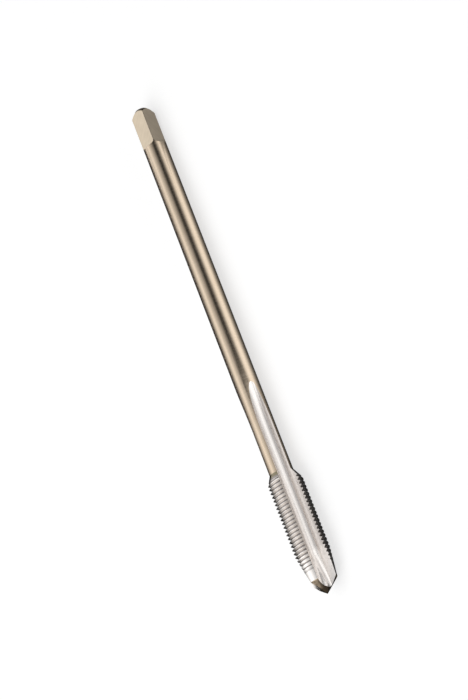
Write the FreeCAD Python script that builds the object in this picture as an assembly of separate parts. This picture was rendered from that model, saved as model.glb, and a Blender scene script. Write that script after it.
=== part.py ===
import FreeCAD, Part
import math
import os

from FreeCAD import Vector

# A machine tap for a fine right-hand thread, made from one bar of tool steel. Lengths are in millimetres and angles
# in degrees. The tap is made standing on its point: z is the distance from the point along the axis.

# Bar and lengths from the point
OVERALL_LENGTH = 70.0
SHANK_DIAMETER = 3.1
THREAD_LENGTH = 14.5
LEAD_LENGTH = 5.3
LEAD_TIP_DIAMETER = 3.6
POINT_ANGLE = 95.0
NECK_CONE_ANGLE = 27.0

# Thread
MAJOR_DIAMETER = 4.5
PITCH = 0.5
THREAD_DEPTH = 0.3
CREST_FLAT = 0.0625
THREAD_ANGLE = 60.0

# Driving square and its chamfered end
SQUARE_ACROSS_FLATS = 2.25
SQUARE_LENGTH = 5.85
END_FACE_DIAMETER = 1.76
END_CHAMFER_LENGTH = 0.8

# Flutes
FLUTE_COUNT = 3
FLUTE_WIDTH_ANGLE = 62.0
RAKE_ANGLE = 3.0
CORE_DIAMETER = 1.5
FLOOR_RADIUS = 1.4
FLUTE_LENGTH = 27.8
WHEEL_RADIUS = 25.0
WHEEL_LEAN_ANGLE = 13.0

# Gun nose, the left-hand twist of each flute towards the point
NOSE_LENGTH = 5.4
NOSE_TWIST_PER_MM = 4.6
NOSE_CORE_DIAMETER = 1.3
NOSE_FLOOR_RADIUS = 1.3
NOSE_SECTIONS = 6

# How far a cutting tool reaches past the surface that it leaves
CLEAR = 0.5
CREST_CLEAR = 0.02

shank_r = SHANK_DIAMETER / 2
major_r = MAJOR_DIAMETER / 2
lead_tip_r = LEAD_TIP_DIAMETER / 2
core_r = CORE_DIAMETER / 2
nose_core_r = NOSE_CORE_DIAMETER / 2
point_height = lead_tip_r / math.tan(math.radians(POINT_ANGLE / 2))
neck_height = (major_r - shank_r) / math.tan(math.radians(NECK_CONE_ANGLE))
shank_start = THREAD_LENGTH + neck_height
shoulder_z = OVERALL_LENGTH - SQUARE_LENGTH
half_flute = FLUTE_WIDTH_ANGLE / 2


def polar(radius, angle, z=0.0):
    """The point at a radius and an angle about the axis."""
    turn = math.radians(angle)
    return Vector(radius * math.cos(turn), radius * math.sin(turn), z)


def face_of(edges):
    return Part.Face(Part.Wire(edges))


def polyline(points):
    """Straight edges through the points and back to the first."""
    return [Part.makeLine(a, b) for a, b in zip(points, points[1:] + points[:1])]


def blank():
    """The turned bar: point, lead, thread blank, cone to the shank, shank and chamfered end."""
    outline = [
        Vector(0, 0, 0),
        Vector(lead_tip_r, 0, point_height),
        Vector(major_r, 0, LEAD_LENGTH),
        Vector(major_r, 0, THREAD_LENGTH),
        Vector(shank_r, 0, shank_start),
        Vector(shank_r, 0, OVERALL_LENGTH - END_CHAMFER_LENGTH),
        Vector(END_FACE_DIAMETER / 2, 0, OVERALL_LENGTH),
        Vector(0, 0, OVERALL_LENGTH),
    ]
    return face_of(polyline(outline)).revolve(Vector(0, 0, 0), Vector(0, 0, 1), 360)


def square_cutter():
    """What is milled off round the driving square, down to a shoulder across the axis. A flat faces the way that the
    first flute does."""
    ring = Part.makeCylinder(shank_r + CLEAR, SQUARE_LENGTH + CLEAR, Vector(0, 0, shoulder_z))
    half = SQUARE_ACROSS_FLATS / 2
    corner = Vector(-half, -half, shoulder_z - CLEAR)
    return ring.cut(Part.makeBox(2 * half, 2 * half, SQUARE_LENGTH + 3 * CLEAR, corner))


def thread_groove():
    """The 60 degree groove that runs along a right-hand helix from the lead out through the neck cone."""
    slope = math.tan(math.radians(THREAD_ANGLE / 2))
    crest_half = (PITCH - CREST_FLAT) / 2
    root_half = crest_half - THREAD_DEPTH * slope
    top_half = crest_half + CREST_CLEAR * slope
    root_r = major_r - THREAD_DEPTH
    top_r = major_r + CREST_CLEAR
    start_z = point_height
    turns_height = math.ceil((shank_start - start_z) / PITCH) * PITCH
    profile = [
        Vector(root_r, 0, start_z - root_half),
        Vector(top_r, 0, start_z - top_half),
        Vector(top_r, 0, start_z + top_half),
        Vector(root_r, 0, start_z + root_half),
    ]
    helix = Part.makeLongHelix(PITCH, turns_height, root_r)
    helix.translate(Vector(0, 0, start_z))
    sweep = Part.BRepOffsetAPI.MakePipeShell(Part.Wire(helix.Edges))
    sweep.setFrenetMode(True)
    sweep.add(Part.Wire(polyline(profile)))
    sweep.build()
    sweep.makeSolid()
    return sweep.shape()


def flute_outline(core, floor_radius, outer):
    """A flute's section, its middle on +X: a straight cutting face, and a round floor that touches the core circle
    and rises to the heel of the land before."""
    heel = polar(major_r, -half_flute)
    # The floor's centre lies floor_radius from the heel and from the core circle.
    centre_d = core + floor_radius
    along = (centre_d**2 - floor_radius**2 + major_r**2) / (2 * major_r)
    across = math.sqrt(centre_d**2 - along**2)
    centre = polar(along, -half_flute) + polar(across, 90 - half_flute)
    # The cutting face is a line that passes the axis on its far side by the rake's offset.
    face_angle = half_flute - RAKE_ANGLE
    face_dir = polar(1, face_angle)
    offset = polar(major_r * math.sin(math.radians(RAKE_ANGLE)), face_angle + 90)
    to_centre = offset - centre
    half_b = face_dir.dot(to_centre)
    reach = math.sqrt(half_b**2 - to_centre.dot(to_centre) + floor_radius**2)
    root = offset + face_dir * (-half_b - reach)
    tip = offset + face_dir * math.sqrt(outer**2 - offset.dot(offset))
    # The floor runs on past the heel until it is outside the blank.
    centre_angle = math.degrees(math.atan2(centre.y, centre.x))
    share = (outer**2 + centre_d**2 - floor_radius**2) / (2 * outer * centre_d)
    heel_out = polar(outer, centre_angle - math.degrees(math.acos(share)))
    lowest = centre * (core / centre_d)
    return root, lowest, heel_out, tip


def flute_wire(core, floor_radius, outer, z=0.0, turn=0.0):
    root, lowest, heel_out, tip = flute_outline(core, floor_radius, outer)
    edges = [
        Part.Arc(root, lowest, heel_out).toShape(),
        Part.makeLine(heel_out, tip),
        Part.makeLine(tip, root),
    ]
    wire = Part.Wire(edges)
    wire.rotate(Vector(0, 0, 0), Vector(0, 0, 1), turn)
    wire.translate(Vector(0, 0, z))
    return wire


def flute_cutter():
    """One straight flute from the point to where the wheel starts to rise, and its run-out along the wheel's arc."""
    outer = major_r + CLEAR
    depth = shank_r - core_r
    run_out = math.sqrt(WHEEL_RADIUS**2 - (WHEEL_RADIUS - depth) ** 2)
    rise_z = FLUTE_LENGTH - run_out
    section = Part.Face(flute_wire(core_r, FLOOR_RADIUS, outer, rise_z))
    straight = section.extrude(Vector(0, 0, -rise_z - CLEAR))
    wheel_centre = polar(core_r + WHEEL_RADIUS, -WHEEL_LEAN_ANGLE, rise_z)
    wheel_axis = polar(1, 90 - WHEEL_LEAN_ANGLE)
    swing = math.degrees(math.acos(1 - (depth + CLEAR) / WHEEL_RADIUS))
    rising = section.revolve(wheel_centre, wheel_axis, swing)
    return [straight, rising]


def nose_cutter():
    """One gun-nose cut: the flute's section, turned evenly about the axis towards the point."""
    outer = major_r + CLEAR
    start = NOSE_LENGTH + CLEAR
    step = (start + CLEAR) / (NOSE_SECTIONS - 1)
    wires = []
    for i in range(NOSE_SECTIONS):
        z = start - i * step
        wires.append(flute_wire(nose_core_r, NOSE_FLOOR_RADIUS, outer, z, NOSE_TWIST_PER_MM * (NOSE_LENGTH - z)))
    return Part.makeLoft(wires, True, False)


def tap():
    """The finished tap, standing on its point with the middle of its first flute on +X."""
    body = blank().cut(square_cutter()).cut(thread_groove())
    cutters = flute_cutter() + [nose_cutter()]
    for i in range(FLUTE_COUNT):
        for cutter in cutters:
            placed = cutter.copy()
            placed.rotate(Vector(0, 0, 0), Vector(0, 0, 1), i * 360 / FLUTE_COUNT)
            body = body.cut(placed)
    return body


def laid_down(body):
    """The tap as it comes to rest: on the crests either side of its lowest flute, where the full thread ends, and on
    the rim of the shank at the shoulder. The point looks to -X, and the lowest flute and flat look down."""
    crest_height = major_r * math.cos(math.radians(half_flute))
    dip = math.degrees(math.atan((crest_height - shank_r) / (shoulder_z - THREAD_LENGTH)))
    # Standing +Z goes to +X and standing +X to -Z. The drive end then dips by the angle that it lies at.
    body.rotate(Vector(0, 0, 0), Vector(0, 1, 0), 90 + dip)
    drop = shank_r / math.cos(math.radians(dip)) + shoulder_z * math.sin(math.radians(dip))
    body.translate(Vector(-OVERALL_LENGTH / 2, 0, drop))
    return body


os.makedirs("parts", exist_ok=True)
laid_down(tap()).exportStep("parts/thread_tap.step")
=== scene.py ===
"""A spiral-point machine tap for a fine right-hand thread: its ground surface, finishes and a plain studio.

The tap's shape is worked out standing on its point, in millimetres: x and y lie across the axis as one
complex number, the middle of the first flute on +x, and z is the distance from the point. It is then laid
down as the frame has it.
"""

import math

import bmesh
import bpy
import numpy as np
from bpy.props import FloatProperty, FloatVectorProperty, IntProperty, PointerProperty
from mathutils import Matrix, Vector


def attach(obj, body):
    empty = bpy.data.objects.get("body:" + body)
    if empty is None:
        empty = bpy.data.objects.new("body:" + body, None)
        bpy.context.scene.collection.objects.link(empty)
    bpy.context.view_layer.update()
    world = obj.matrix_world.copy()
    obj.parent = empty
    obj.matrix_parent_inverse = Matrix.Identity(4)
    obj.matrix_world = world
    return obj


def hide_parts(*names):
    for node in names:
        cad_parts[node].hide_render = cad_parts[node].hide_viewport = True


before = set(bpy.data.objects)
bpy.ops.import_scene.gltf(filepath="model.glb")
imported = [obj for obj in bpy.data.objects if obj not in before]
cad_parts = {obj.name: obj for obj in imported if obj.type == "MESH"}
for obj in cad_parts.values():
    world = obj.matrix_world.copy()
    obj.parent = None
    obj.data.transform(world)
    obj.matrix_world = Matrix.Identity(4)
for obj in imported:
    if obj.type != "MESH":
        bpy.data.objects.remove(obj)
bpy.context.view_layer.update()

bl_info = {
    "name": "Thread Tap",
    "version": (1, 0, 0),
    "blender": (4, 5, 0),
    "location": "View3D > Sidebar > Thread Tap",
    "description": "Builds a spiral-point machine tap with its ground thread, flutes and drive square",
    "category": "Add Mesh",
}

NODE = "thread_tap"
MM = 0.001
DEGREE = math.radians(1.0)
WHITE = (1.0, 1.0, 1.0)
FLUTES = 3
FLUTE_STEP = 360.0 / FLUTES

# Segments of the grid across each land, flute floor, nose floor and cutting face, and across each flat and
# corner of the square. Once round the tap is the same number either way.
LAND_COLUMNS = 34
FLOOR_COLUMNS = 14
NOSE_COLUMNS = 10
FACE_COLUMNS = 6
FLAT_COLUMNS = 46
CORNER_COLUMNS = 2

# Segments of the grid along the tap
POINT_ROWS = 28
RUN_OUT_ROWS = 48
SHANK_ROWS = 18
SHOULDER_ROWS = 8
FLAT_ROWS = 8
CHAMFER_ROWS = 3
END_ROWS = 4

# Rounds in which a value is closed in on: a row's height, the place of a rim, by halves and by thirds
HEIGHT_ROUNDS = 14
RIM_ROUNDS = 6
HALVINGS = 50
THIRDS = 50

# In metres, how near points of the grid lie that are one point, and the angle from which an edge is sharp
MERGE_DISTANCE = 3e-7
SHARP_ANGLE = math.radians(24.0)

# In millimetres, the least radius that a place is divided by
LEAST_RADIUS = 1e-9

# The part of the shoulder's round that lies above the shoulder
ROUND_ABOVE = 0.75

# The painted shade in the thread's groove: its share on the root, the height over which it ends, and the
# length over which it starts on the lead
GROOVE_SHADE = 0.85
GROOVE_SHADE_HEIGHT = 0.045
GROOVE_SHADE_START = 0.15

# The painted shade in a flute's corner, by millimetres from it, from share to share, and the radii between
# which painted shade on the floor grows towards the heel
CORNER_SHADE = (0.02, 0.6, 0.62, 0.0)
HEEL_SHADE_RADII = (1.15, 1.6)

# The light tent's brightness at angles from the -Y horizon over the top
TENT = [(0.0, 1.12), (12.0, 0.8), (23.0, 0.42), (33.0, 0.13), (43.0, 0.02), (58.0, 0.02), (68.0, 0.2),
        (79.0, 0.38), (89.0, 0.5), (99.0, 0.64), (110.0, 0.86), (121.0, 1.04), (132.0, 0.92), (145.0, 0.58),
        (158.0, 0.27), (170.0, 0.05), (180.0, 0.02)]

# How the tent's level changes with the part of a direction that lies along the tap, 1 towards the drive end:
# the two values between which it changes, and its levels there. It falls off towards both open ends and is
# brighter towards the point. What is taken off the +Y wall is the product of two rows, the second by angle.
TENT_ENDS = (0.78, 0.96, 1.0, 0.4)
TENT_POINT = (0.2, 0.36, 1.3, 1.0)
TENT_WALL_END = (0.44, 0.58, 0.0, 1.0)
TENT_WALL = (math.radians(118.0), math.radians(150.0), 0.0, 0.8)

# The floor's grey, its own light by metres from the tap in the same way, and how far it reaches
FLOOR_GREY = 0.45
FLOOR_OWN = (0.05, 0.5, 0.69, 0.79)
FLOOR_REACH = 2000.0

# The card under the tap: how far it runs past the point, where its near half stops and its far half ends, and
# its height over the floor
CARD_PAST_POINT = 8.0
CARD_BREAK = 7.0
CARD_BACK = 200.0
CARD_LIFT = 0.02

# What the card under the tap shows, by millimetres from the tap's line, from the -Y side to the +Y side
CARD = [(-24.0, 1.15), (-8.0, 1.08), (-5.0, 0.84), (-3.5, 0.48), (-2.6, 0.22), (-1.9, 0.08), (-1.0, 0.02),
        (3.0, 0.02), (30.0, 0.02)]

# By how much the card's places are multiplied before that, by millimetres along the tap. Its dark part is
# wider under the thread.
CARD_WIDTH = [(-34.5, 1.0), (-31.5, 0.6), (-29.0, 0.55), (-21.0, 0.55), (-17.0, 1.0)]

# What it shows beside the driving square instead, and where it changes over, from the shoulder
SQUARE_CARD = [(-24.0, 0.9), (-9.0, 0.6), (-6.0, 0.31), (-1.4, 0.29), (-0.4, 0.02), (30.0, 0.02)]
SQUARE_FADE = (0.6, 1.4)

# What the fill card shows, by millimetres along the tap, and its distance from the tap's axis
FLUTE_CARD = [(-60.0, 1.0), (0.0, 1.0), (4.0, 0.02), (8.0, 0.02)]
FILL_DISTANCE = 30.0

# Its share of that by the angle from the -Y horizon
FLUTE_GLOW = [(27.0, 1.32), (48.0, 1.4), (57.0, 1.0), (67.0, 0.52), (78.0, 0.3)]

# Bright cards low beyond the point, which the thread's flanks see, and beyond the drive end, which the neck
# cone sees: their place along the tap, their lower and upper edge, and what they show by millimetres across
# the tap
END_CARDS = [
    ("flank_card", -110.0, 0.5, 20.0, [(-25.0, 1.1), (44.0, 1.35), (54.0, 0.05), (70.0, 0.02)]),
    ("neck_card", 120.0, 0.5, 90.0, [(-20.0, 0.3), (10.0, 0.9), (140.0, 1.1)]),
]

# The zones of rows along the tap, and the finishes in the order of the tap's material list
POINT_ZONE, THREAD_ZONE, RUN_OUT_ZONE, SHANK_ZONE, ROUND_ZONE, FLATS_ZONE, CHAMFER_ZONE, END_ZONE = range(8)
SHANK, FLATS, END, THREAD, FLUTE, NOSE, POINT, FACE = range(8)


def millimetres(name, default, description):
    return FloatProperty(name=name, description=description, default=default * MM, min=0.0, precision=5,
                         unit="LENGTH", subtype="DISTANCE")


def degrees(name, default, description):
    return FloatProperty(name=name, description=description, default=math.radians(default),
                         unit="ROTATION", subtype="ANGLE")


def colour(name, default, description):
    return FloatVectorProperty(name=name, description=description, default=default, size=3, min=0.0, max=1.0,
                               subtype="COLOR")


class TapSizes(bpy.types.PropertyGroup):
    """The tap's own sizes, measured from its point."""

    overall_length: millimetres("Overall length", 70.0, "From the point to the end of the square")
    shank_diameter: millimetres("Shank diameter", 3.1, "Across the round shank")
    thread_length: millimetres("Thread length", 14.5, "From the point to where the neck cone starts")
    lead_length: millimetres("Lead length", 5.3, "From the point to where the lead reaches the full diameter")
    lead_tip_diameter: millimetres("Lead tip diameter", 3.6, "Across the lead where the point starts")
    major_diameter: millimetres("Major diameter", 4.5, "Across the thread's crests")
    pitch: millimetres("Pitch", 0.5, "From one crest to the next")
    thread_depth: millimetres("Thread depth", 0.3, "From crest to root")
    crest_flat: millimetres("Crest flat", 0.0625, "Width of the flat on each crest")
    across_flats: millimetres("Across flats", 2.25, "Across the driving square")
    square_length: millimetres("Square length", 5.85, "Length of the driving square")
    shoulder_radius: millimetres("Shoulder radius", 0.6, "Of the wheel's edge, left where each flat ends")
    end_diameter: millimetres("End face diameter", 1.76, "Across the flat end of the square")
    end_chamfer: millimetres("End chamfer", 0.8, "Length of the chamfer on the square's end")
    core_diameter: millimetres("Core diameter", 1.5, "Of the circle that the flute floors touch")
    floor_radius: millimetres("Floor radius", 1.4, "Radius of the flute floors")
    flute_length: millimetres("Flute length", 27.8, "From the point to the end of the flute run-outs")
    wheel_radius: millimetres("Wheel radius", 25.0, "Of the grinding wheel, as the run-outs show it")
    nose_length: millimetres("Gun nose length", 5.4, "From the point to where the flutes start to turn")
    nose_entry: millimetres("Gun nose entry", 0.5, "Length over which the gun nose reaches its full depth")
    nose_core_diameter: millimetres("Gun nose core", 1.3, "Of the circle that the gun-nose floors touch")
    nose_floor_radius: millimetres("Gun nose floor radius", 1.3, "Radius of the gun-nose floors")
    point_angle: degrees("Point angle", 95.0, "Of the male centre at the tip")
    thread_angle: degrees("Thread angle", 60.0, "Between the flanks of the groove")
    neck_angle: degrees("Neck cone angle", 27.0, "Of the cone from the thread to the shank, to the axis")
    flute_width: degrees("Flute width", 62.0, "From a land's heel to the next cutting edge")
    rake: degrees("Rake", 3.0, "Of the cutting faces")
    wheel_lean: degrees("Wheel lean", 13.0, "Turn of the wheel's plane from the middle of the flute")
    nose_twist: degrees("Gun nose twist", 4.6, "How far the flute turns in each millimetre of the gun nose")


class TapFinish(bpy.types.PropertyGroup):
    """Colours of the tap's finishes."""

    shank: colour("Shank", (0.87, 0.72, 0.56), "Champagne tint of the round shank")
    shank_deep: colour("Shank, deeper", (0.78, 0.63, 0.47), "Where the tint is deeper")
    flats: colour("Flats", (0.83, 0.71, 0.55), "Ground flats of the square")
    flats_deep: colour("Flats, deeper", (0.66, 0.56, 0.43), "Marks of the wheel on the flats")
    ground: colour("Ground steel", (0.98, 0.94, 0.905), "Bright thread and flutes")
    ground_deep: colour("Ground steel, deeper", (0.90, 0.85, 0.81), "Marks of the wheel in the ground steel")
    # Painted shade: the dark deep in the thread's groove and in the flutes' corners
    groove: colour("Groove", (0.26, 0.23, 0.22), "Dark residue in the bottom of the thread's groove")
    face: colour("Cutting face", (0.79, 0.76, 0.74), "Faces that the wheel left a little duller")
    face_deep: colour("Cutting face, deeper", (0.69, 0.655, 0.635), "Marks of the wheel on them")
    thread: colour("Thread", (0.97, 0.925, 0.885), "Ground thread")
    thread_deep: colour("Thread, deeper", (0.82, 0.77, 0.73), "Marks of the wheel round the thread")
    point: colour("Point", (0.06, 0.045, 0.03), "Brown skin left on the male centre")
    end: colour("End", (0.10, 0.075, 0.05), "Brown skin on the chamfer and the end of the square")
    end_worn: colour("End, worn", (0.40, 0.32, 0.24), "Where that skin is thinner")
    neck: colour("Neck", (0.28, 0.245, 0.165), "Olive band where the shank's tint ends on the neck cone")
    point_worn: colour("Point, worn", (0.50, 0.40, 0.29), "Where that skin is thinner")


class StudioSettings(bpy.types.PropertyGroup):
    """Where the camera stands, in the tap's own terms, and the level of the light."""

    turn: degrees("Camera turn", -39.0, "From straight above, round the tap's axis to the camera")
    tilt: degrees("Camera tilt", 24.0, "How far the camera stands towards the point from square on")
    roll: degrees("Camera roll", 21.44, "Turn of the frame's length from upright in the picture")
    rise: FloatProperty(name="Rise", description="Of the view, in pixels of the picture", default=1.2)
    aim: millimetres("Aim", 33.1, "Distance of the picture's middle from the point")
    focal: FloatProperty(name="Focal length", description="In pixels of the picture", default=1911.0)
    scale: FloatProperty(name="Scale", description="Pixels for each millimetre at the aim", default=8.127)
    picture_height: IntProperty(name="Picture height", description="In pixels", default=700)
    key: FloatProperty(name="Key panel", description="Brightness of the soft panel", default=2.0)


class Sizes:
    """The tap's sizes as plain numbers in millimetres and degrees, and what follows from them."""

    def __init__(self, props):
        for name in TapSizes.__annotations__:
            value = getattr(props, name)
            angle = props.bl_rna.properties[name].subtype == "ANGLE"
            setattr(self, name, math.degrees(value) if angle else value / MM)
        self.shank_r = self.shank_diameter / 2
        self.major_r = self.major_diameter / 2
        self.root_r = self.major_r - self.thread_depth
        self.core_r = self.core_diameter / 2
        self.point_height = self.lead_tip_diameter / 2 / math.tan(math.radians(self.point_angle / 2))
        neck_height = (self.major_r - self.shank_r) / math.tan(math.radians(self.neck_angle))
        self.shank_start = self.thread_length + neck_height
        self.shoulder = self.overall_length - self.square_length
        depth = self.shank_r - self.core_r
        self.wheel_centre = self.core_r + self.wheel_radius
        self.rise = self.flute_length - math.sqrt(self.wheel_radius**2 - (self.wheel_radius - depth) ** 2)
        self.flank_slope = math.tan(math.radians(self.thread_angle / 2))
        self.root_half = (self.pitch - self.crest_flat) / 2 - self.thread_depth * self.flank_slope
        crest_height = self.major_r * math.cos(math.radians(self.flute_width / 2))
        self.dip = math.atan((crest_height - self.shank_r) / (self.shoulder - self.thread_length))
        self.drop = self.shank_r / math.cos(self.dip) + self.shoulder * math.sin(self.dip)


def blank_radius(z, s):
    """Radius of the turned bar: straight lines between the ends of the point, the lead, the thread, the neck
    cone, the shank and the end chamfer."""
    stations = [0.0, s.point_height, s.lead_length, s.thread_length, s.shank_start,
                s.overall_length - s.end_chamfer, s.overall_length]
    radii = [0.0, s.lead_tip_diameter / 2, s.major_r, s.major_r, s.shank_r, s.shank_r, s.end_diameter / 2]
    return np.interp(z, stations, radii)


class Rows:
    """Lines round the tap. Each climbs one pitch in a turn, or none, and has a least and a greatest height.
    In the thread the rows lie in fours, on the two edges of each groove's root and on the two edges of its
    mouth, which is wider the more metal the blank has outside the root."""

    def __init__(self, s, base, climb=0.0, side=0.0, mouth=0.0, limit=np.inf, low=0.0, high=np.inf):
        self.s = s
        columns = [a[:, None] for a in np.broadcast_arrays(base, climb, side, mouth, limit, low, high)]
        self.base, self.climb, self.side, self.mouth, self.limit, self.low, self.high = columns

    def height(self, angle):
        """Height at an angle in degrees: base + climb * turns + side * half the groove's width, where that
        width at the mouth depends on the blank's radius at the height itself, so it is closed in on in a few
        rounds."""
        s = self.s
        middle = self.base + self.climb * angle / 360.0
        z = middle
        for _ in range(HEIGHT_ROUNDS):
            outside = np.maximum(blank_radius(z, s) - s.root_r, 0.0)
            z = middle + self.side * (s.root_half + self.mouth * outside * s.flank_slope)
        return np.clip(z, self.low, self.high)

    def radius(self, z):
        return np.minimum(blank_radius(z, self.s), self.limit)


def flute_form(core, radius, s):
    """A flute's section with its middle at angle 0. Its floor is an arc of the given radius that touches the
    core circle and passes through the heel of the land before. Its cutting face is a straight line that
    passes the axis on the far side by the rake's offset. Gives the arc's centre and the line's direction and
    offset."""
    half = math.radians(s.flute_width / 2)
    centre_d = core + radius
    along = (centre_d**2 - radius**2 + s.major_r**2) / (2 * s.major_r)
    across = np.sqrt(centre_d**2 - along**2)
    centre = (along + 1j * across) * np.exp(-1j * half)
    face = np.exp(1j * (half - math.radians(s.rake)))
    offset = 1j * face * s.major_r * math.sin(math.radians(s.rake))
    return centre, face, offset


def face_root(centre, face, offset, radius):
    """Where the line of the cutting face first meets the floor's circle on its way out."""
    away = offset - centre
    half_b = (away * np.conj(face)).real
    reach = np.sqrt(half_b**2 - np.abs(away) ** 2 + radius**2)
    return offset + face * (-half_b - reach)


def on_arc(angle, centre, radius):
    """Point of a circle at an angle from its point nearest to the axis, positive towards the heel."""
    return centre - radius * centre / np.abs(centre) * np.exp(1j * angle)


def arc_angle(point, centre):
    return np.angle((point - centre) / -centre)


class FluteSection:
    """One flute's section at given heights, its middle at angle 0. A place on it is a number: 0 to 1 from
    outside the blank down the flute's floor, 1 to 2 along the gun nose's floor to its root, and 2 to 3 up the
    cutting face and out of the blank. Above the gun nose its floor and face are the flute's own. Towards the
    point they are deeper, and turned in step with the height. In the run-out each point of the section moves
    out on the wheel's circle."""

    # Where the floor's arc starts outside the blank, how far the face runs, in the thread's radii, the least
    # depth into the gun nose, in millimetres, and the places between which the lowest one lies
    widest = math.radians(100.0)
    face_reach = 1.5
    least_depth = 1e-4
    lowest_between = (0.4, 2.4)

    def __init__(self, z, s):
        self.s = s
        self.rise = np.maximum(z - s.rise, 0.0)
        self.centre, _, _ = flute_form(s.core_r, s.floor_radius, s)
        below = np.maximum(s.nose_length - z, self.least_depth)
        into = np.minimum(below / s.nose_entry, 1.0)
        nose_core = s.core_r + (s.nose_core_diameter / 2 - s.core_r) * into
        self.nose_radius = s.floor_radius + (s.nose_floor_radius - s.floor_radius) * into
        nose_centre, face, offset = flute_form(nose_core, self.nose_radius, s)
        turn = np.exp(1j * np.radians(s.nose_twist * below))
        self.nose_centre, self.face, offset = nose_centre * turn, face * turn, offset * turn
        self.root = face_root(self.nose_centre, self.face, offset, self.nose_radius)
        crossing = self.floors_cross()
        self.floor_end = arc_angle(crossing, self.centre)
        self.nose_start = arc_angle(crossing, self.nose_centre)
        self.nose_end = arc_angle(self.root, self.nose_centre)
        self.lowest = self.find_lowest()

    def floors_cross(self):
        """Where the flute's floor meets the gun nose's: the two circles' crossing nearer to the axis."""
        gap = self.nose_centre - self.centre
        length = np.abs(gap)
        along = (self.s.floor_radius**2 - self.nose_radius**2 + length**2) / (2 * length)
        across = np.sqrt(np.maximum(self.s.floor_radius**2 - along**2, 0.0))
        first = self.centre + gap / length * (along + 1j * across)
        second = self.centre + gap / length * (along - 1j * across)
        return np.where(np.abs(first) < np.abs(second), first, second)

    def at(self, place):
        floor = on_arc(self.widest + (self.floor_end - self.widest) * np.clip(place, 0, 1), self.centre,
                       self.s.floor_radius)
        nose = on_arc(self.nose_start + (self.nose_end - self.nose_start) * np.clip(place - 1, 0, 1),
                      self.nose_centre, self.nose_radius)
        face = self.root + self.face * self.face_reach * self.s.major_r * np.clip(place - 2, 0, 1)
        flat = np.where(place < 1, floor, np.where(place < 2, nose, face))
        lean = np.exp(1j * math.radians(self.s.wheel_lean))
        across = flat * lean
        wheel = self.s.wheel_centre
        out = wheel - np.sqrt((wheel - across.real) ** 2 - self.rise**2)
        return (out + 1j * across.imag) / lean

    def find_lowest(self):
        """The place nearest to the axis, by narrowing a bracket to its better two thirds again and again."""
        low, high = (np.full_like(self.rise, place) for place in self.lowest_between)
        for _ in range(THIRDS):
            third = (high - low) / 3
            left = np.abs(self.at(low + third)) < np.abs(self.at(high - third))
            low, high = np.where(left, low, low + third), np.where(left, high - third, high)
        return (low + high) / 2

    def rims(self, r):
        """The places of the heel and the cutting edge, where the section is r from the axis, by halving.
        Where the blank is thinner than the core, both are the lowest place."""
        ends = []
        for outside in (0.0, 3.0):
            inner, outer = self.lowest, np.full_like(self.lowest, outside)
            for _ in range(HALVINGS):
                middle = (inner + outer) / 2
                within = np.abs(self.at(middle)) < r
                inner, outer = np.where(within, middle, inner), np.where(within, outer, middle)
            ends.append(np.where(np.abs(self.at(self.lowest)) < r, inner, self.lowest))
        return ends

    def between(self, heel, edge):
        """Points from the heel to the cutting edge, a column to each, with one on each of its corners."""
        counts = (FLOOR_COLUMNS, NOSE_COLUMNS, FACE_COLUMNS)
        corners = np.repeat(np.arange(3), counts)
        share = np.concatenate([np.arange(n) / n for n in counts])
        start = np.clip(corners, heel, edge)
        stop = np.clip(corners + 1, heel, edge)
        return self.at(start + (stop - start) * share)


def rim_of(rows, base, side):
    """Height and angle of each row at the heel, side 0, or the cutting edge, side 1, of the flute whose
    middle is at the base angle. The height sets the rim's angle and the angle the height, so the two are
    closed in on."""
    s = rows.s
    angle = np.full_like(rows.base, base + (side - 0.5) * s.flute_width)
    for _ in range(RIM_ROUNDS):
        z = rows.height(angle)
        section = FluteSection(z, s)
        rim = section.at(section.rims(rows.radius(z))[side])
        angle = base + np.degrees(np.angle(rim))
    return rows.height(angle), angle


def threaded_grid(rows):
    """Every row of the fluted part, as its places across the axis and its heights, from the first flute's
    cutting edge once round to it: each land, then the flute after it."""
    s = rows.s
    parts = []
    land = np.arange(LAND_COLUMNS) / LAND_COLUMNS
    columns = FLOOR_COLUMNS + NOSE_COLUMNS + FACE_COLUMNS
    flute = np.arange(columns) / columns
    for i in range(FLUTES):
        base = FLUTE_STEP * i
        _, edge = rim_of(rows, base, 1)
        z_heel, heel = rim_of(rows, base + FLUTE_STEP, 0)
        z_next, next_edge = rim_of(rows, base + FLUTE_STEP, 1)
        angle = edge + (heel - edge) * land
        z = rows.height(angle)
        parts.append((rows.radius(z) * np.exp(1j * np.radians(angle)), z))
        z = z_heel + (z_next - z_heel) * flute
        section = FluteSection(z, s)
        r = rows.radius(z)
        points = section.between(*section.rims(r))
        shallow = np.abs(section.at(section.lowest)) >= r
        points = np.where(shallow, r * points / np.maximum(np.abs(points), LEAST_RADIUS), points)
        parts.append((points * np.exp(1j * math.radians(base + FLUTE_STEP)), z))
    parts.append((rows.radius(z_next) * np.exp(1j * np.radians(next_edge)), z_next))
    return tuple(np.concatenate(group, axis=1) for group in zip(*parts))


def run_out_end(s):
    """Height where the flute's lowest line reaches the shank's surface, by halving."""
    low, high = np.array([[s.rise]]), np.array([[s.rise + s.wheel_radius / 2]])
    for _ in range(HALVINGS):
        middle = (low + high) / 2
        section = FluteSection(middle, s)
        under = np.abs(section.at(section.lowest)) < s.shank_r
        low, high = np.where(under, middle, low), np.where(under, high, middle)
    return float(low[0, 0])


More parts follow.
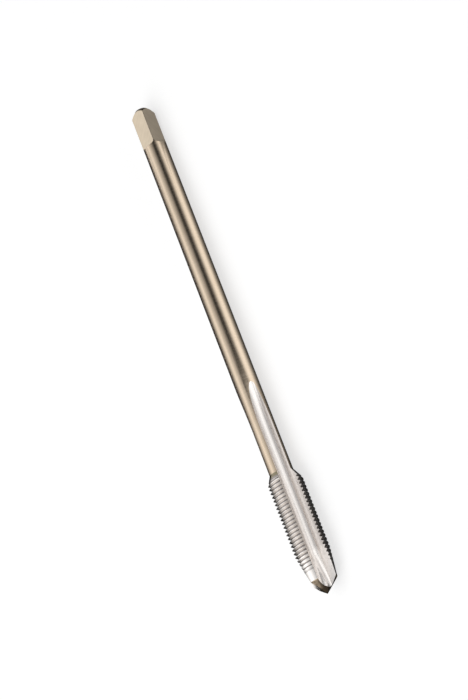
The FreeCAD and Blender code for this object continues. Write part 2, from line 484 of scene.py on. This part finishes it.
def fluted_rows(s, end):
    """The planar rows of the point, the climbing rows of the thread, and the planar rows of the run-out."""
    point = np.linspace(0.0, s.point_height, POINT_ROWS, endpoint=False)
    grooves = np.arange(-2, math.ceil((s.shank_start - s.point_height) / s.pitch) + 1)
    middle = np.repeat(s.point_height + s.pitch * grooves, 4)
    side = np.tile([-1.0, -1.0, 1.0, 1.0], len(grooves))
    mouth = np.tile([1.0, 0.0, 0.0, 1.0], len(grooves))
    share = np.linspace(0.0, 1.0, RUN_OUT_ROWS)
    run_out = s.shank_start + (end - s.shank_start) * (1 - (1 - share) ** 2)
    limit = np.where(mouth > 0, np.inf, s.root_r)
    return [
        Rows(s, point, low=point, high=point),
        Rows(s, middle, s.pitch, side, mouth, limit, s.point_height, s.shank_start),
        Rows(s, run_out, low=run_out, high=run_out),
    ]


def square_angles(s):
    """Angles of the columns on the square: even steps along each flat, then across the corner that the bar's
    round surface leaves."""
    half = math.acos(s.across_flats / 2 / s.shank_r)
    flat = np.degrees(np.arctan(math.tan(half) * np.linspace(-1, 1, FLAT_COLUMNS, endpoint=False)))
    half = math.degrees(half)
    corner = half + (90 - 2 * half) * np.arange(CORNER_COLUMNS) / CORNER_COLUMNS
    side = np.concatenate([corner, flat + 90])
    turns = np.concatenate([side + 90 * i for i in range(4)])
    return np.append(turns, turns[0] + 360)


def drive_grid(s, last_row, end):
    """The shank from the end of the run-outs, where the columns move over to the square's angles, then the
    shoulder, the flats, the chamfer and the end face. Each flat ends at the shoulder in the round of the
    wheel's edge: at an angle u it has risen by radius * (1 - cos u) over a length of radius * sin u, and it
    stops at the shank's surface. The chamfer's edge is where its cone meets the flats, so it dips in the
    middle of each flat."""
    target = square_angles(s)
    folded = np.radians((target + 45) % 90 - 45)
    half = s.across_flats / 2
    depth = np.maximum(s.shank_r * np.cos(folded) - half, 0.0)
    swing = np.arccos(1 - depth / s.shoulder_radius)
    round_top = s.shoulder + s.shoulder_radius * ROUND_ABOVE
    shoulder = round_top - s.shoulder_radius * np.sin(swing)
    start = np.unwrap(np.angle(last_row))
    start = np.degrees(start - start[0]) + np.degrees(np.angle(last_row[0]))
    share = np.linspace(0.0, 1.0, SHANK_ROWS + 1)[1:, None]
    angle = start + (target - start) * share
    z = end + (shoulder - end) * share**2
    shank = s.shank_r * np.exp(1j * np.radians(angle)), z
    unit = np.exp(1j * np.radians(target))
    square = np.minimum(half / np.cos(folded), s.shank_r)
    turned = swing * np.linspace(1.0, 0.0, SHOULDER_ROWS, endpoint=False)[:, None]
    risen = (half + s.shoulder_radius * (1 - np.cos(turned))) / np.cos(folded)
    round_off = np.minimum(risen, s.shank_r) * unit, round_top - s.shoulder_radius * np.sin(turned)
    fall = (s.shank_r - s.end_diameter / 2) / s.end_chamfer
    chamfer = s.overall_length - s.end_chamfer + (s.shank_r - square) / fall
    share = np.linspace(0.0, 1.0, FLAT_ROWS + 1)[:, None]
    across = np.broadcast_to(square * unit, (FLAT_ROWS + 1, len(unit)))
    flats = across, round_top + (chamfer - round_top) * share
    share = np.linspace(0.0, 1.0, CHAMFER_ROWS + 1)[1:, None]
    z = chamfer + (s.overall_length - chamfer) * share
    cone = blank_radius(z, s) * unit, z
    share = np.linspace(1.0, 0.0, END_ROWS + 1)[1:, None]
    face = s.end_diameter / 2 * share * unit, np.full((END_ROWS, len(unit)), s.overall_length)
    return [shank, round_off, flats, cone, face]


def lay_down(across, z, s):
    """Standing +z goes to +x and standing +x to -z, the drive end dips by the angle that the tap lies at, and
    the whole is lifted onto the floor."""
    x, y = across.real, across.imag
    sin, cos = math.sin(s.dip), math.cos(s.dip)
    return np.stack([z * cos - x * sin - s.overall_length / 2, y, s.drop - x * cos - z * sin], axis=-1) * MM


def finishes(zone, across, z, s):
    """The finish of each face of the grid, from its zone of rows, its column and its middle."""
    rows, columns = zone.size - 1, across.shape[1] - 1
    *starts, per_flute = np.cumsum((LAND_COLUMNS, FLOOR_COLUMNS, NOSE_COLUMNS, FACE_COLUMNS))
    in_flute, in_nose, in_face = (np.arange(columns) % per_flute >= start for start in starts)
    height = (z[:-1, :-1] + z[1:, 1:]) / 2
    band = np.broadcast_to(zone[1:, None], (rows, columns))
    corner = np.arange(columns) % (FLAT_COLUMNS + CORNER_COLUMNS) < CORNER_COLUMNS
    finish = np.full((rows, columns), SHANK)
    finish[(band == POINT_ZONE) & ~in_flute] = POINT
    finish[(band <= THREAD_ZONE) & ~in_flute & (height > s.point_height)] = THREAD
    finish[(band <= RUN_OUT_ZONE) & in_flute] = FLUTE
    finish[(band <= RUN_OUT_ZONE) & in_nose & (height < s.nose_length)] = NOSE
    finish[(band <= RUN_OUT_ZONE) & in_face] = FACE
    finish[(band == ROUND_ZONE) & ~corner] = FLATS
    finish[band == FLATS_ZONE] = FLATS
    finish[band >= CHAMFER_ZONE] = END
    return finish


def tap_mesh(name, s):
    """Joins the grid's rows and columns into faces. Rows that are clipped to the ends of the thread, and
    columns that close on a point, fall on each other and are merged, which also closes the seam, the point
    and the end."""
    end = run_out_end(s)
    grids = [threaded_grid(rows) for rows in fluted_rows(s, end)]
    grids += drive_grid(s, grids[-1][0][-1], end)
    zone = np.repeat(np.arange(len(grids)), [g[0].shape[0] for g in grids])
    across = np.concatenate([g[0] for g in grids])
    z = np.concatenate([g[1] for g in grids])
    places = lay_down(across, z, s).reshape(-1, 3)
    index = np.arange(len(places)).reshape(z.shape)
    quads = np.stack([index[:-1, :-1], index[:-1, 1:], index[1:, 1:], index[1:, :-1]], axis=-1).reshape(-1, 4)
    mesh = bpy.data.meshes.new(name)
    mesh.from_pydata(places.tolist(), [], quads.tolist())
    mesh.polygons.foreach_set("material_index", finishes(zone, across, z, s).ravel().astype(np.int32))
    shaper = bmesh.new()
    shaper.from_mesh(mesh)
    bmesh.ops.remove_doubles(shaper, verts=shaper.verts, dist=MERGE_DISTANCE)
    bmesh.ops.recalc_face_normals(shaper, faces=shaper.faces)
    shaper.to_mesh(mesh)
    shaper.free()
    mesh.polygons.foreach_set("use_smooth", np.ones(len(mesh.polygons), dtype=bool))
    mesh.set_sharp_from_angle(angle=SHARP_ANGLE)
    return mesh


class Desk:
    """A node tree with short ways to add to it. Its place output is the point that is looked at."""

    # Inputs of a mix node for its share and its two colours, and its output for a colour
    MIX_INPUTS = (0, 6, 7)
    MIX_OUTPUT = 2

    def __init__(self, owner, coordinates="Object"):
        owner.use_nodes = True
        self.nodes, self.links = owner.node_tree.nodes, owner.node_tree.links
        self.place = self.nodes.new("ShaderNodeTexCoord").outputs[coordinates]

    def feed(self, socket, value):
        """Links an input to another node's output, or sets it to a colour, a vector or a number."""
        if isinstance(value, bpy.types.NodeSocket):
            self.links.new(value, socket)
        elif socket.type == "RGBA":
            socket.default_value = (*value, 1.0)
        else:
            socket.default_value = value

    def node(self, kind, **inputs):
        """A new node. Its inputs are fed by their names, with an underscore for a space."""
        made = self.nodes.new("ShaderNode" + kind)
        for name, value in inputs.items():
            self.feed(made.inputs[name.replace("_", " ")], value)
        return made

    def calc(self, operation, *values, kind="Math"):
        """A number from numbers, or from vectors where the kind is VectorMath."""
        node = self.node(kind)
        node.operation = operation
        for socket, value in zip(node.inputs, values):
            self.feed(socket, value)
        return node.outputs["Value"]

    def add(self, first, second):
        return self.calc("ADD", first, second)

    def times(self, first, second):
        return self.calc("MULTIPLY", first, second)

    def blend(self, first, share, second):
        """The first number by the share and the second by the rest."""
        return self.add(self.times(first, share), self.times(second, 1 - share))

    def span(self, value, low, high, to_low=0.0, to_high=1.0):
        """A number that goes from to_low to to_high while the value goes from low to high."""
        node = self.node("MapRange", Value=value, From_Min=low, From_Max=high, To_Min=to_low, To_Max=to_high)
        return node.outputs["Result"]

    def ramp(self, value, stops, unit):
        """A number by a value, from pairs in rising order of the value, in the given unit, and the number
        there. The stops hold shares of the greatest number, and all are made first, because each new one
        moves the others."""
        node = self.node("ValToRGB")
        first, last, most = stops[0][0], stops[-1][0], max(level for _, level in stops)
        elements = node.color_ramp.elements
        while len(elements) < len(stops):
            elements.new(0.5)
        for i, (place, level) in enumerate(stops):
            elements[i].position = (place - first) / (last - first)
            elements[i].color = (level / most, level / most, level / most, 1.0)
        self.feed(node.inputs["Fac"], self.span(value, first * unit, last * unit))
        return self.times(node.outputs["Color"], most)

    def mix(self, share, first, second):
        """A colour between two, by the share of the second."""
        node = self.node("Mix")
        node.data_type = "RGBA"
        for i, value in zip(self.MIX_INPUTS, (share, first, second)):
            self.feed(node.inputs[i], value)
        return node.outputs[self.MIX_OUTPUT]

    def noise(self, scale, stretch=(1.0, 1.0, 1.0), detail=3.0, place=None):
        fit = self.node("Mapping", Scale=stretch, Vector=place or self.place)
        return self.node("TexNoise", Scale=scale, Detail=detail, Vector=fit.outputs["Vector"]).outputs["Fac"]

    def part(self, name):
        """One coordinate of the place: X, Y or Z."""
        return self.node("SeparateXYZ", Vector=self.place).outputs[name]

    def around(self):
        """The angle round the tap's line, from the -Y horizon over the top: atan2(z, -y)."""
        return self.calc("ARCTAN2", self.part("Z"), self.times(self.part("Y"), -1.0))


class TapDesk(Desk):
    """One of the tap's finishes. Its place output is the tap standing on its point, in millimetres."""

    def __init__(self, name, s):
        self.s = s
        self.material = bpy.data.materials.new(name)
        super().__init__(self.material)
        self.shader = self.nodes["Principled BSDF"]
        stand = self.node("Mapping", Vector=self.place)
        stand.vector_type = "TEXTURE"
        self.feed(stand.inputs["Location"], (-s.overall_length / 2 * MM, 0.0, s.drop * MM))
        self.feed(stand.inputs["Rotation"], (0.0, math.pi / 2 + s.dip, 0.0))
        self.feed(stand.inputs["Scale"], (MM, MM, MM))
        self.place = stand.outputs["Vector"]

    def bump(self, height, distance):
        node = self.node("Bump", Height=height, Distance=distance * MM)
        self.feed(self.shader.inputs["Normal"], node.outputs["Normal"])

    def from_axis(self):
        """Distance from the axis: sqrt(x*x + y*y)."""
        x, y = self.part("X"), self.part("Y")
        return self.calc("POWER", self.add(self.times(x, x), self.times(y, y)), 0.5)

    def in_groove(self):
        """The share of painted shade in the thread's groove: greatest on the groove's root, 0 a little above
        it.
        Where the lead is thinner than the root there is no groove, so it is 0."""
        s = self.s
        low = self.span(self.from_axis(), s.root_r, s.root_r + GROOVE_SHADE_HEIGHT, GROOVE_SHADE, 0.0)
        tip_r = s.lead_tip_diameter / 2
        starts = s.point_height + (s.root_r - tip_r) * (s.lead_length - s.point_height) / (s.major_r - tip_r)
        return self.times(low, self.span(self.part("Z"), starts, starts + GROOVE_SHADE_START))

    def wrapped_angle(self):
        """The angle from the middle of the nearest flute: atan2(y, x), wrapped to half a step either way."""
        half = math.radians(FLUTE_STEP / 2)
        return self.calc("WRAP", self.calc("ARCTAN2", self.part("Y"), self.part("X")), half, -half)

    def in_corner(self):
        """The share of painted shade in a flute's corner: greatest where the flute's floor meets the cutting
        face and 0 a little way from there. The place is turned into the first flute's own share of the
        circle."""
        root = face_root(*flute_form(self.s.core_r, self.s.floor_radius, self.s), self.s.floor_radius)
        radius, turn = self.from_axis(), self.wrapped_angle()
        x, y = (self.times(radius, self.calc(name, turn)) for name in ("COSINE", "SINE"))
        folded = self.node("CombineXYZ", X=x, Y=y).outputs["Vector"]
        away = self.calc("DISTANCE", folded, (root.real, root.imag, 0.0), kind="VectorMath")
        return self.span(away, *CORNER_SHADE)

    def metal(self, colour, marks, smooth, rough):
        """Ends the finish. Its roughness goes from smooth to rough with the noise of the marks."""
        roughness = self.span(marks, 0.3, 0.7, smooth, rough)
        for name, value in (("Metallic", 1.0), ("Base Color", colour), ("Roughness", roughness)):
            self.feed(self.shader.inputs[name], value)
        return self.material


def shank_material(s, finish):
    """Champagne tint, ground round and round: rings of finer and coarser marks, and slow clouds in it."""
    desk = TapDesk("tap_shank", s)
    rings = desk.noise(1.0, (0.2, 0.2, 7.0), 1.5)
    clouds = desk.noise(0.35, (1.0, 1.0, 0.5))
    share = desk.span(desk.blend(clouds, 0.6, rings), 0.3, 0.7)
    desk.bump(rings, 0.0003)
    return desk.metal(desk.mix(share, finish.shank_deep, finish.shank), rings, 0.21, 0.25)


def flats_material(s, finish):
    """Straight marks of the wheel that run slantwise over each flat: a noise along x + y + z."""
    desk = TapDesk("tap_flats", s)
    slant = desk.add(desk.add(desk.part("X"), desk.part("Y")), desk.part("Z"))
    marks = desk.noise(4.5, detail=2.5, place=desk.node("CombineXYZ", X=slant).outputs["Vector"])
    share = desk.span(desk.blend(marks, 0.7, desk.noise(0.8)), 0.32, 0.62)
    desk.bump(marks, 0.0035)
    return desk.metal(desk.mix(share, finish.flats_deep, finish.flats), marks, 0.34, 0.42)


def end_material(s, finish):
    """The chamfer and end face, darker, with a skin that is thinner in clouds."""
    desk = TapDesk("tap_end", s)
    clouds = desk.noise(1.2)
    desk.bump(desk.noise(14.0), 0.003)
    return desk.metal(desk.mix(desk.span(clouds, 0.35, 0.65), finish.end, finish.end_worn), clouds, 0.3, 0.42)


def flute_material(name, s, colours, shade, stretch, roughness, heel=0.0):
    """Bright ground steel with the marks of the wheel drawn out the way that it ran, and painted shade in the
    corner where the floor meets the cutting face above the gun nose. By the share called heel, painted shade
    also darkens it where the floor comes up to the thread."""
    desk = TapDesk(name, s)
    marks = desk.noise(1.0, stretch, 2.0)
    share = desk.span(desk.blend(marks, 0.7, desk.noise(0.7)), 0.3, 0.5)
    desk.bump(marks, 0.0004)
    above = desk.span(desk.part("Z"), s.nose_length - 1.0, s.nose_length + 0.5)
    beside = desk.span(desk.part("Z"), s.thread_length, s.shank_start + 0.5, 1.0, 0.0)
    rim = desk.times(desk.span(desk.from_axis(), *HEEL_SHADE_RADII, 0.0, heel), beside)
    # Painted shade in the flute's corner, and towards the heel by the share called heel
    dark = desk.times(desk.calc("MAXIMUM", desk.in_corner(), rim), above)
    return desk.metal(desk.mix(dark, desk.mix(share, *colours), shade), marks, *roughness)


def thread_material(s, finish):
    """Bright ground steel with fine marks round it, brightest on the crests and the lead by painted
    highlight, and with painted shade deep in the groove. The upper part of the neck cone is an olive band."""
    desk = TapDesk("tap_thread", s)
    marks = desk.noise(1.0, (0.6, 0.6, 9.0), 1.0)
    ground = desk.mix(desk.span(marks, 0.3, 0.6), finish.thread_deep, finish.thread)
    desk.bump(marks, 0.0004)
    # Painted highlight: lighter on the lead and on the crests
    lead = desk.span(desk.part("Z"), s.lead_length - 2.3, s.lead_length + 0.7, 1.0, 0.0)
    crest = desk.span(desk.from_axis(), s.major_r - 0.05, s.major_r - 0.01)
    bright = desk.mix(desk.calc("MAXIMUM", lead, crest), ground, finish.ground)
    # Painted shade deep in the thread's groove
    grooved = desk.mix(desk.in_groove(), bright, finish.groove)
    band = desk.span(desk.part("Z"), s.shank_start - 0.6, s.shank_start - 0.42)
    return desk.metal(desk.mix(band, grooved, finish.neck), marks, 0.2, 0.27)


def point_material(s, finish):
    """Brown skin of heat treatment on the male centre, thinner in patches and towards the lead. Painted shade
    makes it darkest towards the heels of the lands."""
    desk = TapDesk("tap_point", s)
    patches = desk.noise(1.6, (1.6, 1.6, 0.5))
    desk.bump(desk.noise(6.0), 0.003)
    upwards = desk.span(desk.part("Z"), 0.3, s.point_height)
    # Painted shade towards the heels of the lands
    heel = desk.span(desk.calc("COSINE", desk.wrapped_angle()), 0.6, 0.9, 1.0, 0.0)
    worn = desk.times(desk.span(desk.times(patches, upwards), 0.1, 0.5), heel)
    return desk.metal(desk.mix(worn, finish.point, finish.point_worn), patches, 0.36, 0.48)


def added(name, data):
    """A new object in the scene."""
    made = bpy.data.objects.new(name, data)
    bpy.context.scene.collection.objects.link(made)
    return made


class MESH_OT_thread_tap(bpy.types.Operator):
    """Builds the whole tap as one closed surface with its finishes"""

    bl_idname = "mesh.thread_tap"
    bl_label = "Thread tap"

    def execute(self, context):
        finish = context.scene.tap_finish
        s = Sizes(context.scene.tap_sizes)
        mesh = tap_mesh("tap", s)
        ground = finish.ground_deep, finish.ground
        face = finish.face_deep, finish.face
        for material in (
            shank_material(s, finish),
            flats_material(s, finish),
            end_material(s, finish),
            thread_material(s, finish),
            # Each flute finish gets the colour of its painted shade after its own two colours
            flute_material("tap_flute", s, ground, finish.groove, (9.0, 9.0, 0.35), (0.24, 0.3), 0.5),
            flute_material("tap_gun_nose", s, ground, finish.groove, (9.0, 9.0, 0.5), (0.2, 0.26)),
            point_material(s, finish),
            flute_material("tap_cutting_face", s, face, finish.thread_deep, (6.0, 6.0, 2.5), (0.26, 0.33)),
        ):
            mesh.materials.append(material)
        tap = added("tap", mesh)
        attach(tap, "root")
        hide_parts(NODE)
        return {"FINISHED"}


def camera_axes(props):
    """The camera's right, up and back. It stands round the tap's axis from straight above, tilts towards the
    point, and rolls."""
    turn, tilt, roll = props.turn, props.tilt, props.roll
    along = Vector((1.0, 0.0, 0.0))
    facing = Vector((0.0, math.sin(turn), math.cos(turn)))
    beside = along.cross(facing)
    back = facing * math.cos(tilt) - along * math.sin(tilt)
    rise = along * math.cos(tilt) + facing * math.sin(tilt)
    right = beside * math.cos(roll) - rise * math.sin(roll)
    up = beside * math.sin(roll) + rise * math.cos(roll)
    return right, up, back


def soft_panel(name, around, along, distance, length, height, brightness):
    """A panel that faces the tap, its distance and sides in metres. Around is its angle from the -Y horizon
    over the top, along its lean towards the drive end, and its long side lies with the tap. A mirror would
    show it at its brightness."""
    around, along = math.radians(around), math.radians(along)
    aside = math.cos(along)
    outward = Vector((math.sin(along), -math.cos(around) * aside, math.sin(around) * aside))
    across = outward.cross(Vector((1.0, 0.0, 0.0))).normalized()
    with_tap = across.cross(outward)
    panel = bpy.data.lights.new(name, "AREA")
    panel.shape = "RECTANGLE"
    panel.size = length
    panel.size_y = height
    panel.energy = brightness * math.pi * length * height
    turn = Matrix((with_tap, across, outward)).transposed().to_4x4()
    added(name, panel).matrix_world = Matrix.Translation(outward * distance) @ turn


def studio_world(scene):
    """A light tent that runs along the tap. Its brightness goes by the angle round the tap's line, and falls
    off towards its two open ends. Its +Y wall stops short of the drive end, and it is brighter towards the
    point. The camera itself sees plain white."""
    world = bpy.data.worlds.new("studio")
    desk = Desk(world, "Generated")
    along, around = desk.part("X"), desk.around()
    level = desk.ramp(around, TENT, DEGREE)
    level = desk.times(level, desk.span(desk.calc("ABSOLUTE", along), *TENT_ENDS))
    shorter = desk.times(desk.span(along, *TENT_WALL_END), desk.span(around, *TENT_WALL))
    level = desk.times(level, desk.calc("SUBTRACT", 1.0, shorter))
    level = desk.times(level, desk.span(along, *TENT_POINT))
    seen = desk.node("LightPath").outputs["Is Camera Ray"]
    background = desk.nodes["Background"]
    desk.feed(background.inputs["Color"], desk.mix(seen, level, WHITE))
    desk.feed(background.inputs["Strength"], 1.0)
    scene.world = world


def paper_desk(name, grey):
    """A new material of matt paper without gloss, as its nodes' desk, its shader and itself."""
    material = bpy.data.materials.new(name)
    desk = Desk(material)
    paper = desk.nodes["Principled BSDF"]
    desk.feed(paper.inputs["Base Color"], (grey, grey, grey))
    desk.feed(paper.inputs["Specular IOR Level"], 0.0)
    return desk, paper, material


def sheet(name, corners, material):
    """A flat piece of the studio with four corners, in millimetres."""
    mesh = bpy.data.meshes.new(name)
    mesh.from_pydata([tuple(a * MM for a in corner) for corner in corners], [], [(0, 1, 2, 3)])
    mesh.materials.append(material)
    made = added(name, mesh)
    return made


def pale_floor():
    """Pale matt paper. Part of its white is its own, for what looks at it straight or in the metal, so that
    the shadow on it stays light. That part grows away from the tap, where less of the lamps' light lands."""
    desk, paper, material = paper_desk("pale_floor", FLOOR_GREY)
    path = desk.node("LightPath")
    seen = path.outputs["Is Camera Ray"]
    for name in ("Is Glossy Ray", "Is Transmission Ray"):
        seen = desk.calc("MAXIMUM", seen, path.outputs[name])
    own = desk.span(desk.calc("LENGTH", desk.place, kind="VectorMath"), *FLOOR_OWN)
    desk.feed(paper.inputs["Roughness"], 0.9)
    desk.feed(paper.inputs["Emission Color"], WHITE)
    desk.feed(paper.inputs["Emission Strength"], desk.times(own, seen))
    reach = FLOOR_REACH
    sheet("floor", [(-reach, -reach, 0), (reach, -reach, 0), (reach, reach, 0), (-reach, reach, 0)], material)


def card(name, corners, fill):
    """A card that only the metal sees. What fill makes on its desk is its brightness."""
    desk, paper, material = paper_desk(name, 0.0)
    desk.feed(paper.inputs["Emission Strength"], 1.0)
    desk.feed(paper.inputs["Emission Color"], fill(desk))
    made = sheet(name, corners, material)
    made.visible_camera = False
    made.visible_diffuse = False
    made.visible_shadow = False


def edge_card(s):
    """A card under the tap. It is dark beside the tap and pale further off, and so draws the edges of the
    round shank and of the thread. Its dark part is wider under the thread. Near the tap it ends a little
    beyond the point, and behind it runs on."""
    square = s.shoulder - s.overall_length / 2

    def fill(desk):
        along, across = desk.part("X"), desk.part("Y")
        plain = desk.ramp(desk.times(across, desk.ramp(along, CARD_WIDTH, MM)), CARD, MM)
        more = desk.calc("SUBTRACT", desk.ramp(across, SQUARE_CARD, MM), plain)
        return desk.add(plain, desk.times(more, desk.span(along, *((square + a) * MM for a in SQUARE_FADE))))

    right = 2 * s.overall_length
    left = -s.overall_length / 2 - CARD_PAST_POINT
    low, beside, high, above = CARD[0][0], CARD_BREAK, CARD_BACK, CARD_LIFT
    for name, left, near, far in (("edge_card", left, low, beside), ("back_card", -right, beside, high)):
        card(name, [(left, near, above), (right, near, above), (right, far, above), (left, far, above)], fill)


def flute_card(s):
    """A fill card in the tent's dark gap that lightens the flutes. It fades out short of the plain shank."""
    (left, _), (right, _) = FLUTE_CARD[0], FLUTE_CARD[-1]
    (low, _), (high, _) = FLUTE_GLOW[0], FLUTE_GLOW[-1]
    corners = []
    for along, around in ((left, low), (right, low), (right, high), (left, high)):
        turn = math.radians(around)
        corners.append((along, -FILL_DISTANCE * math.cos(turn), s.drop + FILL_DISTANCE * math.sin(turn)))

    def fill(desk):
        glow = desk.ramp(desk.around(), FLUTE_GLOW, DEGREE)
        return desk.times(glow, desk.ramp(desk.part("X"), FLUTE_CARD, MM))

    card("flute_card", corners, fill)


def end_card(name, along, low, high, levels):
    """A bright card that stands across the tap's line beyond one of its ends, between two heights."""
    (left, _), (right, _) = levels[0], levels[-1]
    corners = [(along, left, low), (along, right, low), (along, right, high), (along, left, high)]
    card(name, corners, lambda desk: desk.ramp(desk.part("Y"), levels, MM))


class SCENE_OT_tap_studio(bpy.types.Operator):
    """Adds the pale floor, the soft lights, the world and the camera"""

    bl_idname = "scene.tap_studio"
    bl_label = "Tap studio"

    def execute(self, context):
        scene = context.scene
        props = scene.tap_studio
        s = Sizes(scene.tap_sizes)
        right, up, back = camera_axes(props)
        aim = Vector(lay_down(np.array(0j), np.array(props.aim / MM), s))
        eye = bpy.data.cameras.new("camera")
        eye.sensor_width = 36.0
        eye.lens = props.focal * eye.sensor_width / props.picture_height
        eye.shift_y = props.rise / props.picture_height
        eye.clip_start = 0.001
        stand = added("camera", eye)
        place = aim + back * (props.focal / props.scale * MM)
        stand.matrix_world = Matrix.Translation(place) @ Matrix((right, up, back)).transposed().to_4x4()
        scene.camera = stand
        pale_floor()
        studio_world(scene)
        edge_card(s)
        flute_card(s)
        for row in END_CARDS:
            end_card(*row)
        soft_panel("key_panel", around=110.0, along=-40.0, distance=0.4, length=0.25, height=0.3,
                   brightness=props.key)
        scene.view_settings.view_transform = "Standard"
        return {"FINISHED"}


class VIEW3D_PT_thread_tap(bpy.types.Panel):
    """Shows the buttons that build the tap and its studio"""

    bl_label = "Thread Tap"
    bl_space_type = "VIEW_3D"
    bl_region_type = "UI"
    bl_category = "Thread Tap"

    def draw(self, context):
        for operator in (MESH_OT_thread_tap, SCENE_OT_tap_studio):
            self.layout.operator(operator.bl_idname)


CLASSES = (TapSizes, TapFinish, StudioSettings, MESH_OT_thread_tap, SCENE_OT_tap_studio, VIEW3D_PT_thread_tap)


def register():
    for item in CLASSES:
        bpy.utils.register_class(item)
    bpy.types.Scene.tap_sizes = PointerProperty(type=TapSizes)
    bpy.types.Scene.tap_finish = PointerProperty(type=TapFinish)
    bpy.types.Scene.tap_studio = PointerProperty(type=StudioSettings)


def unregister():
    del bpy.types.Scene.tap_studio
    del bpy.types.Scene.tap_finish
    del bpy.types.Scene.tap_sizes
    for item in reversed(CLASSES):
        bpy.utils.unregister_class(item)


def main():
    register()
    bpy.ops.mesh.thread_tap()
    bpy.ops.scene.tap_studio()


if __name__ == "__main__":
    main()
